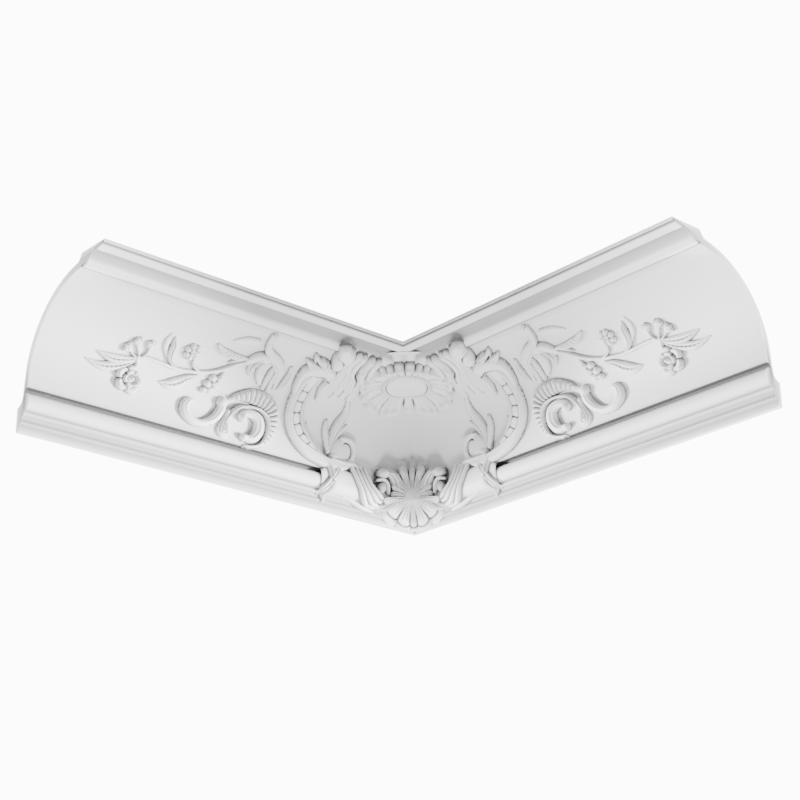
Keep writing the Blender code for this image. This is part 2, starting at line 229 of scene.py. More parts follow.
def smooth_path(points, stations):
    """A Catmull-Rom curve through the points, read at equal steps of its length."""
    knots = np.array(points, float)
    knots = np.vstack((2 * knots[0] - knots[1], knots, 2 * knots[-1] - knots[-2]))
    a, b, c, d = knots[:-3, None], knots[1:-2, None], knots[2:-1, None], knots[3:, None]
    t = np.linspace(0, 1, 16, endpoint=False)[None, :, None]
    square = (2 * a - 5 * b + 4 * c - d) * t * t
    cube = (3 * b - a - 3 * c + d) * t ** 3
    fine = 0.5 * (2 * b + (c - a) * t + square + cube)
    fine = np.vstack((fine.reshape(-1, 2), knots[-2]))
    lengths = np.concatenate(([0], np.cumsum(np.hypot(*np.diff(fine, axis=0).T))))
    places = np.linspace(0, lengths[-1], stations)
    return np.column_stack([np.interp(places, lengths, fine[:, axis]) for axis in (0, 1)])


def spread(values, share, shares_of_points):
    """Values given at a path's points, or at equal steps of it where their number differs, read at a
    share from 0 to 1 of its length."""
    knots = shares_of_points if len(values) == len(shares_of_points) else np.linspace(0, 1, len(values))
    curve = smooth_path(np.column_stack((knots * 100, values)), 80)
    return np.interp(share * 100, np.maximum.accumulate(curve[:, 0]), np.maximum(curve[:, 1], 0))


def shares_along(points, path):
    """The share of the path's length at which it passes each of its points."""
    points = np.array(points, float)
    gaps = np.hypot(path[:, None, 0] - points[None, :, 0], path[:, None, 1] - points[None, :, 1])
    places = np.maximum.accumulate(gaps.argmin(0)).astype(float)
    places[0] = 0
    places[-1] = len(path) - 1
    return places / (len(path) - 1)


class Carving:
    """A height field over a chart, in millimetres, that strokes and flowers are cut into."""

    def __init__(self, along, up):
        self.along = np.arange(along[0], along[1] + CELL, CELL)
        self.up = np.arange(up[0], up[1] + CELL, CELL)
        self.height = np.full((len(self.up), len(self.along)), -SKIRT)

    def window(self, points, reach):
        """The part of the field within reach of the points: its slices and its two coordinates."""
        low = points.min(0) - reach
        high = points.max(0) + reach
        columns = slice(*np.searchsorted(self.along, (low[0], high[0])))
        rows = slice(*np.searchsorted(self.up, (low[1], high[1])))
        return rows, columns, *np.meshgrid(self.along[columns], self.up[rows])

    def lay(self, rows, columns, height, mode="over"):
        """Lays a height on the field: over keeps the higher, cut takes a depth away from what is there."""
        field = self.height[rows, columns]
        if mode == "over":
            np.maximum(field, height, out=field)
        else:
            field -= np.where(field > -SKIRT, height, 0)

    def stroke(self, points, half_width, height, shape, mode="over", **detail):
        """A stroke along a path: x is the place across it from -1 to 1, t the share of its length. The
        shape gives the share of the height, and past the edge the field falls away at a set slope."""
        path = smooth_path(points, STATIONS)
        reach = max(half_width) + 3
        rows, columns, s, a = self.window(path, reach)
        if s.size == 0:
            return
        nearest = np.zeros(s.shape, int)
        best = np.full(s.shape, np.inf)
        for k in range(0, STATIONS, STATION_STRIDE):
            gap = (s - path[k, 0]) ** 2 + (a - path[k, 1]) ** 2
            closer = gap < best
            best[closer] = gap[closer]
            nearest[closer] = k
        for shift in (-1, 1):
            k = np.clip(nearest + shift, 0, len(path) - 1)
            gap = (s - path[k, 0]) ** 2 + (a - path[k, 1]) ** 2
            nearest = np.where(gap < best, k, nearest)
            best = np.minimum(gap, best)
        tangent = np.gradient(path, axis=0)
        step = np.hypot(*tangent.T)
        tangent /= step[:, None]
        off_s = s - path[nearest, 0]
        off_a = a - path[nearest, 1]
        forward = off_s * tangent[nearest, 0] + off_a * tangent[nearest, 1]
        across = off_a * tangent[nearest, 0] - off_s * tangent[nearest, 1]
        ends = ((nearest == 0) & (forward < 0)) | ((nearest == len(path) - 1) & (forward > 0))
        total = step.mean() * (len(path) - 1)
        t = np.clip((nearest * step.mean() + np.where(ends, 0, forward)) / total, 0, 1)
        distance = np.where(ends, np.hypot(across, forward), np.abs(across))
        knots = shares_along(points, path)
        wide = spread(half_width, t, knots)
        x = np.where(across < 0, -1, 1) * distance / np.maximum(wide, 0.05)
        inside = np.abs(x) < 1
        share = shape(np.clip(x, -1, 1), t, t * total, **detail)
        tall = spread(height, t, knots)
        outside = 0 if mode == "cut" else -EDGE_SLOPE * (distance - wide)
        self.lay(rows, columns, np.where(inside, tall * share, outside), mode)

    def incise(self, points, half_width, depth):
        """A groove with soft sides along a path, taken out of what is there."""
        self.stroke(points, half_width, depth, plain_hook, "cut")

    def flower(self, centre, radius, height, petals, turn=0.0, heart=0.28, heart_height=1.1, squash=1.0):
        """A flower from above: petals round a heart. A petal is a scoop with a raised rim, and its edge is
        a cosine lobe of the angle."""
        middle = np.array([centre, centre], float)
        rows, columns, s, a = self.window(middle, radius * 1.2)
        ds = s - centre[0]
        da = (a - centre[1]) / squash
        angle = np.arctan2(da, ds) - turn
        reach = np.hypot(ds, da) / radius
        lobe = np.abs(np.cos(petals * angle / 2))
        edge = 0.74 + 0.26 * lobe ** 0.7
        inner = reach / edge
        bowl = 0.55 + 0.45 * smooth_step(0.35, 0.85, inner)
        crease = 1 - 0.5 * bell(lobe / 0.16) * smooth_step(0.2, 0.4, inner)
        rim = np.clip(1 - ((inner - 0.8) / 0.2).clip(0) ** 2, 0, 1) ** 0.5
        petal = height * bowl * crease * rim
        petal = np.where(inner < 1, petal, -EDGE_SLOPE * (inner - 1) * radius)
        knob = heart_height * height * np.sqrt(np.clip(1 - (reach / heart) ** 2, 0, 1))
        self.lay(rows, columns, np.maximum(petal, np.where(reach < heart, knob, -SKIRT)))

    def dome(self, centre, radii, height, turn=0.0, power=0.5):
        """A boss: height times (1 - r squared) to a power, in an ellipse that may be turned."""
        middle = np.array([centre, centre], float)
        rows, columns, s, a = self.window(middle, max(radii) + 2)
        ds, da = s - centre[0], a - centre[1]
        u = (ds * math.cos(turn) + da * math.sin(turn)) / radii[0]
        v = (da * math.cos(turn) - ds * math.sin(turn)) / radii[1]
        r = np.hypot(u, v)
        self.lay(rows, columns, np.where(r < 1, height * np.clip(1 - r * r, 0, 1) ** power,
                                         -EDGE_SLOPE * (r - 1) * min(radii)))

    def mesh(self, name, surface, side):
        """The cells that stand proud, as a mesh on the surface. The right arm mirrors the left."""
        proud = self.height > KEEP_ABOVE
        cell = proud[:-1, :-1] | proud[1:, :-1] | proud[:-1, 1:] | proud[1:, 1:]
        index = np.arange(self.height.size).reshape(self.height.shape)
        quads = np.stack((index[:-1, :-1], index[:-1, 1:], index[1:, 1:], index[1:, :-1]), -1)[cell]
        s, a = np.meshgrid(self.along, self.up)
        points = surface(side, s, a, self.height).reshape(-1, 3)
        # The left chart, seen from the room, runs to the left and up, so its cells are turned over
        if side == "left":
            quads = quads[:, ::-1]
        used, flat = np.unique(quads, return_inverse=True)
        # Painted shade: how shut in each place lies, by which the finish darkens the colour
        shade = painted_shade_openness(self.height).reshape(-1)[used]
        return make_mesh(name, points[used], flat.reshape(quads.shape).tolist(), shade)


def blurred(field, steps):
    """A field smoothed by a running mean in both directions, done twice."""
    kernel = np.ones(2 * steps + 1) / (2 * steps + 1)
    for axis in (0, 1, 0, 1):
        padded = np.pad(field, [(steps, steps) if k == axis else (0, 0) for k in (0, 1)], mode="edge")
        field = np.apply_along_axis(np.convolve, axis, padded, kernel, mode="valid")
    return field


def painted_shade_openness(height):
    """How open each place of a height field lies: 1 on the open ground, less in a groove or at the foot
    of a form, from its depth under the ground smoothed narrowly and widely. The finish paints shade into
    the colour where it is low."""
    ground = np.maximum(height, 0)
    narrow = np.clip(blurred(ground, 2) - ground, 0, 1)
    wide = np.clip(blurred(ground, 7) - ground, 0, 3.5) / 3.5
    return 1 - np.clip(0.9 * narrow + 0.6 * wide, 0, 1)


def smooth_step(low, high, value):
    """0 below low, 1 above high, and 3 t squared minus 2 t cubed between them."""
    t = np.clip((value - low) / (high - low), 0, 1)
    return t * t * (3 - 2 * t)


def bell(value):
    """A bell curve: e to the power of minus the value squared."""
    return np.exp(-value ** 2)


def full(x, fullness, edge):
    """A full section: 1 less the size of x to the power fullness, all to the power edge."""
    return np.clip(1 - np.abs(x) ** fullness, 0, 1) ** edge


def rounded(x, t, way):
    """Half-round section: (1 - x squared) to the power 0.55."""
    return np.clip(1 - x * x, 0, 1) ** 0.55


def pillow(x, t, way):
    """A flat, full section with round edges."""
    return full(x, 3.5, 0.6)


def grooved(x, t, way, grooves=2, depth=0.3):
    """Half-round with grooves along it, spaced evenly across."""
    ripple = 0.5 - 0.5 * np.cos(math.pi * (grooves + 1) * (x + 1))
    return rounded(x, t, way) * (1 - depth + depth * ripple)


def veined(x, t, way, pitch=3.2, vein=0.42, side_vein=0.16):
    """A leaf: two swelling halves, a sunk midrib, and side veins that slant away from it."""
    body = full(x, 2.4, 0.6)
    midrib = 1 - vein * bell(x / 0.17)
    slant = 1 - side_vein * (0.5 + 0.5 * np.cos(2 * math.pi * (way / pitch - 1.3 * np.abs(x))))
    return body * midrib * slant


def fluted(x, t, way, pitch=3.0, depth=0.5):
    """Ribs that stand across the stroke, each a half-round, with grooves between them."""
    rib = np.abs(np.sin(math.pi * way / pitch))
    return full(x, 4, 0.6) * (1 - depth + depth * rib ** 0.6)


def twisted(x, t, way, pitch=3.4):
    """A bud wound like a rope: half-round with slanting grooves."""
    return rounded(x, t, way) * (0.68 + 0.32 * np.abs(np.sin(math.pi * (way / pitch + 0.6 * x))) ** 0.7)


def plain_hook(x, t, way):
    """A groove with soft sides, for cutting."""
    return np.clip(1 - x * x, 0, 1) ** 1.5


def bead_band(x, t, way):
    """The great scroll's band from its outer edge at x = -1: a broad fillet, the channel of the beads
    between two fine dark lines, and two thin inner rims. Along the foot the channel runs out inwards."""
    body = full(x, 6, 0.6)
    opening = smooth_step(0.42, 0.62, t)
    shut = 1 - smooth_step(0.885, 0.9, t)
    outer_line = 0.55 - 1.03 * opening
    inner_line = 0.97 - 0.62 * opening
    middle = (outer_line + inner_line) / 2
    u = (x - middle) / ((inner_line - outer_line) / 2)
    channel = (np.abs(u) < 1) * smooth_step(0.4, 0.46, t) * shut
    bead = np.sqrt(np.clip(1 - (u / 0.86) ** 2, 0, 1)) * np.abs(np.sin(math.pi * way / 12.2)) ** 0.42
    groove = 0.34 * bell((x - inner_line - 0.36) / 0.07) * opening
    edge = 0.5 * bell((x - inner_line - 0.03) / 0.05) * opening
    fine = 0.08 * bell((x + 0.74) / 0.05)
    hollow = (1 - smooth_step(0.0, 0.55, bead)) * 0.78
    trench = np.where(channel > 0, hollow * channel, fine + edge + groove)
    return body * (1 - trench - 0.08 * (x > inner_line))


def great_scroll(cut):
    """The C-scroll: its volute, the band with the row of beads, and the leaves that spring inside it."""
    cut.stroke([(121, 31), (114, 31.5), (107.5, 28.5), (104.5, 21), (105, 13), (110, 5.5), (120, 2),
                (133, 2.2), (147.5, 4.9), (161, 11.7), (172.5, 23), (179, 32), (183, 41), (185, 52),
                (185, 63), (184, 75), (181, 87), (177, 95)],
               (2.6, 3.4, 3.8, 3.8, 4, 4.6, 5.4, 6, 6.4, 8.8, 10.8, 11, 11, 10.8, 11.2, 11.2, 9.5, 7),
               (6, 6.5, 7, 7, 7, 7, 7, 7, 7.2, 7.6, 8, 8, 8, 8, 8, 8, 7.5, 7), bead_band)
    cut.dome((118.5, 18.5), (13.5, 13.8), 7.4, power=0.32)
    cut.dome((125, 12), (8, 5), 6.8, turn=-0.4, power=0.35)
    cut.incise([(108.5, 12), (107.2, 17), (107.4, 22), (110.5, 26.6), (115, 27.6), (119, 25.8)],
               (0.5, 1.2, 1.5, 1.4, 1.1, 0.5), (2, 4.5, 5.5, 5, 4, 2))
    cut.stroke([(135, 14), (133, 25), (130.5, 36), (127.5, 46), (124.5, 56), (125.5, 65), (130.5, 72)],
               (2.4, 4.2, 5.6, 5.8, 4.8, 3.8, 0.6), (5.5, 6, 6, 5.6, 5, 4.2, 2.5), half_leaf)
    cut.stroke([(131, 22), (126, 33), (120, 43), (116.5, 47)], (1.4, 2.4, 1.9, 0.5), (4, 4.4, 3.2, 1.5),
               rounded)
    cut.stroke([(134.5, 14), (138, 25), (141.5, 34), (143.5, 43), (142, 45.5)], (2, 3.4, 3.6, 2.4, 0.8),
               (5.5, 5.6, 5.2, 3.6, 2), half_leaf)
    cut.stroke([(163.5, 21), (166, 29), (165, 38)], (0.7, 1.2, 0.5), (1.5, 2.4, 1.2), rounded)


def half_leaf(x, t, way):
    """A leaf folded along a line on its left side: one narrow half and one broad, smooth one."""
    body = full(x, 3, 0.55)
    return body * (1 - 0.5 * bell((x - 0.42) / 0.16) - 0.14 * bell((x + 0.45) / 0.12))


def scroll_head(cut):
    """The scroll's head: the frill that falls towards the medallion, its long folds, the rolled leaf and
    the leaf under it."""
    for path, wide, tall in (
            ([(130, 74), (131, 82), (135, 92), (140, 102)], (3.8, 5.6, 5.5, 4), (5, 6.6, 6.8, 6)),
            ([(139.5, 74.5), (140, 84), (144, 95), (148, 106)], (4, 5.8, 5.6, 4), (5.4, 7.2, 7.2, 6.4)),
            ([(149, 71), (149.5, 83), (152, 95), (155, 108)], (4, 6.4, 6.2, 5), (5.2, 7, 7.4, 7)),
            ([(163, 65), (161.5, 76), (160.5, 88), (160, 100), (160, 112)], (4.6, 9, 7.6, 5.6, 5),
             (5.6, 7.8, 8.2, 7.6, 7))):
        cut.stroke(path, wide, tall, lobe)
    for path, tall in (([(139, 134), (133.5, 118), (127, 106), (119, 97)], 7.4),
                       ([(147, 134), (141.5, 117), (137, 106), (129, 95)], 8.6),
                       ([(157, 134), (152.5, 116), (148.5, 106), (142, 96)], 7.6),
                       ([(163, 134), (159.5, 118), (155, 106), (149, 97)], 7.2)):
        cut.stroke(path, (4.4, 4.8, 4.6, 3), (tall, tall, tall, 5.5), rounded)
    cut.incise([(152, 132), (148.6, 117), (147, 109), (142.5, 103), (137, 97), (135.5, 90)],
               (0.8, 1.5, 1.6, 1.6, 1.4, 0.5), (3, 5, 5.5, 5.5, 4.5, 2))
    cut.incise([(144, 130), (142.5, 118), (141.5, 110)], (0.5, 1, 0.4), (2, 3, 1))
    cut.incise([(131, 126), (129.5, 117), (127, 110)], (0.5, 1, 0.4), (2, 3, 1))
    for spot in ((143.6, 81), (152.8, 75), (132.5, 103)):
        cut.incise([spot, (spot[0] + 1.2, spot[1] + 3)], (1.3, 0.6), (4, 2))
    cut.stroke([(170, 90), (171.5, 97), (178, 98.5), (187, 96.5), (194, 91), (196.5, 82), (196, 70),
                (194, 60)], (4, 7.4, 8.4, 8.6, 6.8, 4.4, 2.6, 1), (8.6, 10.4, 10.6, 10, 9, 8, 7, 5),
               pillow)
    cut.stroke([(184, 96), (191, 99.5), (198, 101), (204, 104)], (5.5, 5.4, 3.6, 0.8), (9, 9, 8, 5), lobe)
    cut.stroke([(178, 103), (187, 106.5), (195, 109), (200, 114.5)], (5.4, 5.6, 3.6, 1),
               (9.6, 9.6, 8.6, 6), lobe)
    cut.stroke([(172, 110), (174, 121), (177, 132), (184, 140)], (6.5, 9.4, 9.6, 6), (10, 11.6, 11.4, 9),
               pillow)
    cut.incise([(183, 108), (186, 115), (187, 123)], (0.8, 1.2, 0.8), (3, 4, 2))
    cut.incise([(165, 104), (172, 106.4), (182, 107)], (1.4, 1.3, 0.9), (5, 4.4, 3))
    cut.incise([(171, 119), (175, 125), (181, 127.5), (186, 125)], (0.7, 1.3, 1.3, 0.6), (2.6, 4, 4, 2))
    cut.incise([(187, 103.6), (191.5, 105), (196.5, 108.5)], (0.8, 1.9, 1.4), (3, 6, 6))
    cut.incise([(166, 86.6), (172, 88.8), (178, 89.8), (185, 89)], (1.2, 1.3, 1, 0.5), (4, 4, 3, 1.5))
    cut.incise([(173, 93), (180, 94), (188, 92)], (0.4, 0.9, 0.4), (0.6, 1.2, 0.6))


def lobe(x, t, way):
    """A lobe of the frill: full, with two soft flutes."""
    return full(x, 4, 0.55) * (1 - 0.07 + 0.07 * np.cos(3 * math.pi * x))


def s_leaf(cut):
    """The S-shaped leaf beyond the scroll, its curled head, its tuft and the small leaves about it."""
    cut.stroke([(284, 97), (274, 102), (264, 105)], (2, 5, 4), (2, 3.4, 4), pillow)
    cut.stroke([(238, 91), (250, 88), (259, 80)], (5.5, 6.4, 3.4), (6.6, 6.4, 4.6), pillow)
    cut.stroke([(236, 91), (240, 80), (239, 70), (235, 61)], (4.5, 5.6, 5, 2.2), (6.4, 6, 5.4, 3.4), lobe)
    cut.stroke([(244, 92), (250, 84), (252.3, 75), (249.5, 66.5)], (3.2, 4.5, 4, 1.2), (6.6, 7.6, 7, 3.5),
               grooved, grooves=2, depth=0.42)
    for path, wide in (([(230.5, 87), (231, 73), (229.5, 58.5)], (3, 3.8, 2.6)),
                       ([(225, 85), (225, 72), (223, 57.5)], (3, 3.7, 2.4)),
                       ([(220, 84), (219.6, 72), (217.8, 60)], (2.6, 3.2, 1.8))):
        cut.stroke(path, wide, (7.4, 8, 5), grooved, grooves=1, depth=0.24)
    cut.stroke([(210.5, 87), (207.6, 79), (207.8, 70), (211.5, 61)], (2, 4.2, 4.8, 2.4), (4, 6, 6, 3.8),
               grooved, grooves=2, depth=0.24)
    cut.stroke([(257.5, 121), (253, 110), (249, 102.5), (243, 96.5), (234, 91.6), (225.3, 85), (221, 77),
                (220.6, 69)], (1.6, 3, 3.8, 5, 6, 6.3, 6, 3.6), (5, 6.6, 7.2, 7.8, 8.4, 8.6, 8.4, 6.5),
               crest)
    cut.stroke([(250, 117), (253, 121), (256.5, 124.5)], (1, 1.7, 0.8), (3, 5, 3), rounded)


def crest(x, t, way):
    """The ridge of the S-shaped leaf: highest towards x = 1, and falling away towards x = -1."""
    body = full(x, 5, 0.55)
    return body * (1 - 0.34 * smooth_step(-0.7, 0.9, -x)) * (1 - 0.16 * bell((x - 0.45) / 0.12))


def shell_fan(cut):
    """The shell fan: standing ribs on an arched band, a fillet round a deep line inside it, an inner leaf
    that curls over at its end, and a fluted foot."""
    cut.stroke([(260, 38), (254.5, 41.5), (247, 44.5), (239, 46.5), (231, 46.4), (222.5, 45), (214.5, 41.5),
                (208.6, 35), (205.9, 26), (206.2, 17), (209.4, 9.5), (215.2, 3.6), (222, 0)],
               (1.6, 3.6, 5.6, 7.4, 8.3, 8.6, 8.1, 7, 5.9, 5.1, 4.4, 3.4, 1.4),
               (5, 6.5, 7.5, 8, 8, 8, 8, 7.8, 7.4, 7, 6.4, 5.6, 4), fluted, pitch=5.3, depth=0.66)
    cut.stroke([(238, 4.5), (228.5, 5), (222.6, 11), (220.8, 18.5), (223.5, 26), (231, 29.6),
                (239.5, 28.6), (244, 24.6)], (3.4, 5, 6.4, 6.9, 6.2, 5, 4, 3),
               (6, 6.8, 7.4, 7.8, 7.8, 7.4, 7.2, 6.8), grooved, grooves=2, depth=0.12)
    cut.dome((237.5, 4.6), (4.8, 4), 7, power=0.4)
    cut.dome((242, 23.6), (4.4, 4.2), 8, power=0.4)
    cut.incise([(257, 14.5), (255.4, 21), (250.5, 27.6), (243, 32.2), (233, 34), (224.5, 33.6),
                (217.4, 29.6), (214.5, 24), (214.1, 17), (216, 8.5), (220.7, 2.5), (228, -0.4),
                (236.5, -1)], (0.8, 1.6, 1.4, 1, 0.9, 1.1, 1.4, 1.5, 1.5, 1.5, 1.4, 1.3, 0.6),
               (6, 8, 7, 5, 4, 5, 7, 8, 8, 8, 7, 6, 3))
    cut.stroke([(260, 15), (258, 21), (253, 29), (245.5, 34.4), (235, 36.4), (225, 36), (216.2, 32),
                (212.2, 25), (211.7, 17), (213.7, 7.8), (219, 0.4), (227, -3), (236, -3.6)],
               (1.6, 1.8, 1.8, 1.8, 1.7, 1.8, 1.9, 1.8, 1.7, 1.6, 1.5, 1.4, 0.8),
               (6, 7, 8, 8.2, 8.2, 8.4, 8.6, 8.4, 8, 7.4, 6.4, 5.4, 3), rounded)
    cut.stroke([(259, 26), (259.6, 17), (261, 6)], (2.6, 4.6, 8.2), (6, 6, 5), grooved, grooves=5,
               depth=0.3)


def small_scroll(cut):
    """The small C-scroll: a full smooth band, rolled at its head and hooked at its end."""
    cut.stroke([(268, 33), (267.6, 25.5), (272, 16.8), (280, 10), (289.5, 6.9), (299, 8), (306, 13.6),
                (307.3, 20.6), (304, 25.6), (299.6, 26)], (4.8, 5.4, 5, 4.4, 4, 4.8, 5.8, 5.4, 3.6, 2),
               (6.6, 6.8, 6.8, 6.6, 6.4, 6.6, 6.8, 6.8, 6.4, 5.5), grooved, grooves=2, depth=0.1)
    cut.dome((268, 32.6), (6, 5.6), 7.8, power=0.4)
    cut.incise([(262.5, 30), (263.2, 22), (267.5, 14.5), (275, 8.6), (286, 4.4)], (0.4, 0.8, 0.9, 0.8, 0.4),
               (1, 2, 2.2, 1.8, 1))


def spray(cut):
    """The flower spray: stem, twisted bud, berries, leaves, buds, the hanging flower and the rose."""
    cut.stroke([(256, 79), (265, 74.8), (275, 67), (284, 61), (293, 57), (303, 54), (313, 52.3),
                (323, 51.2), (333, 51.3), (344, 52.3), (356, 52.9), (364, 52.2), (371, 48.6)],
               (3, 2.8, 2.6, 2.4, 2.2, 2.2, 2.1, 2, 2, 1.9, 1.8, 1.8, 1.8),
               (4.8, 4.8, 4.6, 4.4, 4.2, 4, 4, 4, 3.8), grooved, grooves=1, depth=0.24)
    cut.stroke([(262, 82.5), (269, 78.5), (277, 72)], (1.6, 2.3, 0.8), (4.2, 4.4, 3), rounded)
    cut.stroke([(262, 82), (272, 80.5), (281, 81), (290, 83), (297, 87)], (1.8, 3.4, 4, 3.4, 1.6),
               (4, 6, 6.6, 6, 4), twisted, pitch=4.6)
    cut.stroke([(301, 54.5), (308, 57), (311.8, 60.2), (313, 64)], (1.4, 1.4, 1.3, 1), (3.8, 3.8, 3.6, 3.4),
               rounded)
    for count, start, wide, high, size, tall in ((7, 0.3, 6.3, 6.1, 3.1, 5.2), (3, 0.9, 2.6, 2.5, 3.0, 6.6)):
        for k in range(count):
            angle = 2 * math.pi * k / count + start
            cut.dome((318 + wide * math.cos(angle), 71.5 + high * math.sin(angle)), (size, size), tall)
    cut.stroke([(328, 52), (336, 57.4), (339, 65.5), (339.4, 73), (342, 81)], (1.3, 2.4, 4.1, 3.6, 0.5),
               (3.6, 4.4, 5.6, 5.2, 2), veined, pitch=60, side_vein=0, vein=0.62)
    cut.stroke([(341, 60), (346, 68), (347.5, 76), (346.5, 84)], (1.4, 3, 3, 0.6), (2.4, 2.8, 2.2, 1),
               rounded)
    cut.stroke([(302, 50.5), (312, 45.6), (321, 38.6), (330, 35), (340, 35)], (1.4, 4, 6.2, 5, 0.6),
               (3.8, 4.8, 5, 4.2, 1.6), veined, pitch=4.4, vein=0.4, side_vein=0.1)
    cut.stroke([(277, 65), (277, 60), (279, 55)], (1.5, 1.8, 1.6), (4, 4, 3.8), rounded)
    for spot, size in (((278, 54), 4.2), ((285.5, 52.6), 4.6), ((280.6, 47), 4.8), ((289, 46), 4.8),
                       ((285, 41), 4.6), ((291.6, 39.4), 3.8)):
        cut.dome(spot, (size, size * 0.86), 5.4)
    cut.dome((284.4, 47.6), (2.6, 2.6), 7)
    for path in ([(365, 52), (362, 57), (361.4, 61)], [(368, 51), (371, 57), (373.5, 60)],
                 [(370, 50), (376, 53), (379, 55.4)]):
        cut.stroke(path, (1.2, 1.1, 1.1), (3.4, 3.4, 3.6), rounded)
    for (bud_s, bud_a), turn in (((361.4, 65), 1.5), ((374.6, 64.6), 1.0), ((381.6, 57), 0.4)):
        for aside, ahead, size in ((0, 0, 4.0), (2.7, 2.2, 2.5), (-2.7, 2.2, 2.5), (0, 3.6, 2.3)):
            spot = (bud_s + ahead * math.cos(turn) - aside * math.sin(turn),
                    bud_a + ahead * math.sin(turn) + aside * math.cos(turn))
            cut.dome(spot, (size, size), 5.0)
    cut.stroke([(370, 50), (368.4, 45), (369, 40)], (2.2, 2.4, 2), (4.4, 4.6, 4.6), rounded)
    cut.flower((371.8, 29), 15.2, 5.8, 5, turn=0.5, heart=0.3, heart_height=1.25, squash=0.95)
    cut.flower((370.6, 29.6), 9.4, 8, 5, turn=1.1, heart=0.34, heart_height=1.12)
    for path in ([(370, 49.5), (380, 46), (392, 43.6), (402, 44.4), (411, 46.4)],
                 [(372, 46), (384, 39.4), (398, 35), (408, 34.6), (420, 37)]):
        cut.stroke(path, (1.6, 3.8, 4.8, 3, 0.4), (3.8, 4.8, 5, 4, 1.6), veined, pitch=4.6, vein=0.5,
                   side_vein=0.12)


def lower_acanthus(cut):
    """The acanthus that wraps the roll: its cuff, the smooth sheath, the long lobes that sweep down, and
    the scroll with its knob that leans against the palmette."""
    cut.stroke([(129, 13), (112, 13), (94, 12), (80, 10)], (15.5, 15, 14, 10), (1.8, 2.4, 2.8, 2.8), pillow)
    cut.stroke([(137, 33), (130, 23), (129, 10), (133, 0), (132, -9)], (2.4, 4.6, 4.8, 4.6, 1.6),
               (4, 5.6, 5.6, 5, 2.6), grooved, grooves=2, depth=0.4)
    cut.stroke([(119, 35), (123, 24), (131, 13), (139, 4), (140, -4)], (1.8, 3.6, 4, 3.6, 1),
               (3.6, 5.2, 5.6, 4.8, 2.2), grooved, grooves=1, depth=0.4)
    cut.stroke([(130, 36), (117, 35), (104, 36), (94, 34)], (2, 3.4, 3.2, 1.4), (4, 5, 5, 3), rounded)
    for k in range(4):
        cut.stroke([(104 - 5.2 * k, 35), (99.5 - 5.1 * k, 23 + 0.8 * k), (91.5 - 4.4 * k, 9.5 + 2.6 * k),
                    (79 - 2.8 * k, 0.5 + 3.9 * k), (65 - 0.6 * k, -3 + 4.2 * k)], (1.6, 3, 3.2, 3, 1.6),
                   (4, 6, 6.6, 6.4, 4), rounded)
    cut.stroke([(110, 1), (96, -2), (82, -6), (68, -8)], (1.4, 2.6, 2.8, 1.4), (2.6, 3.4, 3.4, 2), rounded)
    cut.stroke([(62, 36), (54.5, 36.5), (47.6, 31), (44.6, 22), (47, 12), (54, 3.5), (64, -1.6), (76, -3),
                (90, -1)], (3, 4.4, 5.2, 5.4, 5.2, 4.6, 3.8, 2.8, 1.2),
               (10, 10, 9.6, 9.4, 9, 8, 6.6, 5, 2.6), grooved, grooves=3, depth=0.32)
    cut.dome((64.5, 34.5), (6.0, 5.6), 12, power=0.42)
    cut.dome((64, 20), (4.6, 6.4), 6.4, turn=0.4, power=0.45)
    cut.stroke([(70, 27), (64, 28.5), (58, 24), (56, 15)], (1.4, 2.4, 2.4, 1.2), (5, 6.6, 6.6, 5), rounded)


def petal_ring(angle, petals):
    """For each angle: the place x from -1 to 1 across the petal it falls in, its length and its kind. A
    petal is (centre, half width, length, kind) in degrees from the foot, the same on both sides."""
    folded = np.abs(np.degrees(np.arctan2(np.sin(angle), np.cos(angle))))
    x = np.ones(angle.shape)
    length = np.ones(angle.shape)
    kind = np.zeros(angle.shape)
    for centre, half, far, value in petals:
        here = np.abs(folded - centre) <= half
        x = np.where(here, (folded - centre) / half, x)
        length = np.where(here, far, length)
        kind = np.where(here, value, kind)
    return x, length, kind


MEDALLION_PETALS = ((0, 8, 0.96, 0), (27, 19, 1.0, 1), (60, 14, 0.98, 1), (83, 9, 0.96, 0), (107, 15, 1.0, 1),
                    (134, 12, 0.96, 0), (151, 5, 0.98, 0), (161, 5, 0.98, 0), (173, 7, 1.0, 0))


def medallion_height(reach, angle):
    """The medallion: a low dome in a ring, a plain band round it, and petals to the rim, each scooped
    between two raised edges."""
    x, length, broad = petal_ring(angle, MEDALLION_PETALS)
    rim = length * (1 - 0.15 * np.abs(x) ** 2.6)
    inner = reach / rim
    boss_edge = 0.45
    boss = 8.2 + 3.4 * np.sqrt(np.clip(1 - (reach / (boss_edge * 0.9)) ** 2, 0, 1))
    ring = 3.4 * bell((reach - boss_edge) / 0.03)
    band = 6.2 + 1.4 * smooth_step(0.5, 0.62, inner)
    edge = 1.0 - smooth_step(0.93, 1.0, inner)
    lip = 2.5 * bell((inner - 0.91) / 0.05)
    scoop = broad * 3.5 * (np.abs(x) ** 2 - 0.55) + (1 - broad) * 1.3 * (0.5 - np.abs(x))
    groove = -5.4 * bell((np.abs(x) - 1) / 0.13)
    flute = 0.25 * np.cos(x * math.pi * 3) * broad
    petals = (scoop + groove + flute + lip) * smooth_step(0.5, 0.6, inner)
    height = np.where(reach < boss_edge * 0.9, boss, np.minimum(8.6, band) + ring + petals)
    return np.where(inner < 1, height * (0.55 + 0.45 * edge), -34 * (inner - 1))


PALMETTE_PETALS = ((0, 9, 0.94, 0), (22, 13, 1.0, 0), (48, 13, 1.0, 0), (72, 11, 0.93, 0), (94, 11, 0.68, 0),
                   (116, 11, 0.7, 0), (138, 11, 0.84, 0), (160, 11, 0.98, 1), (180, 9, 0.93, 1))


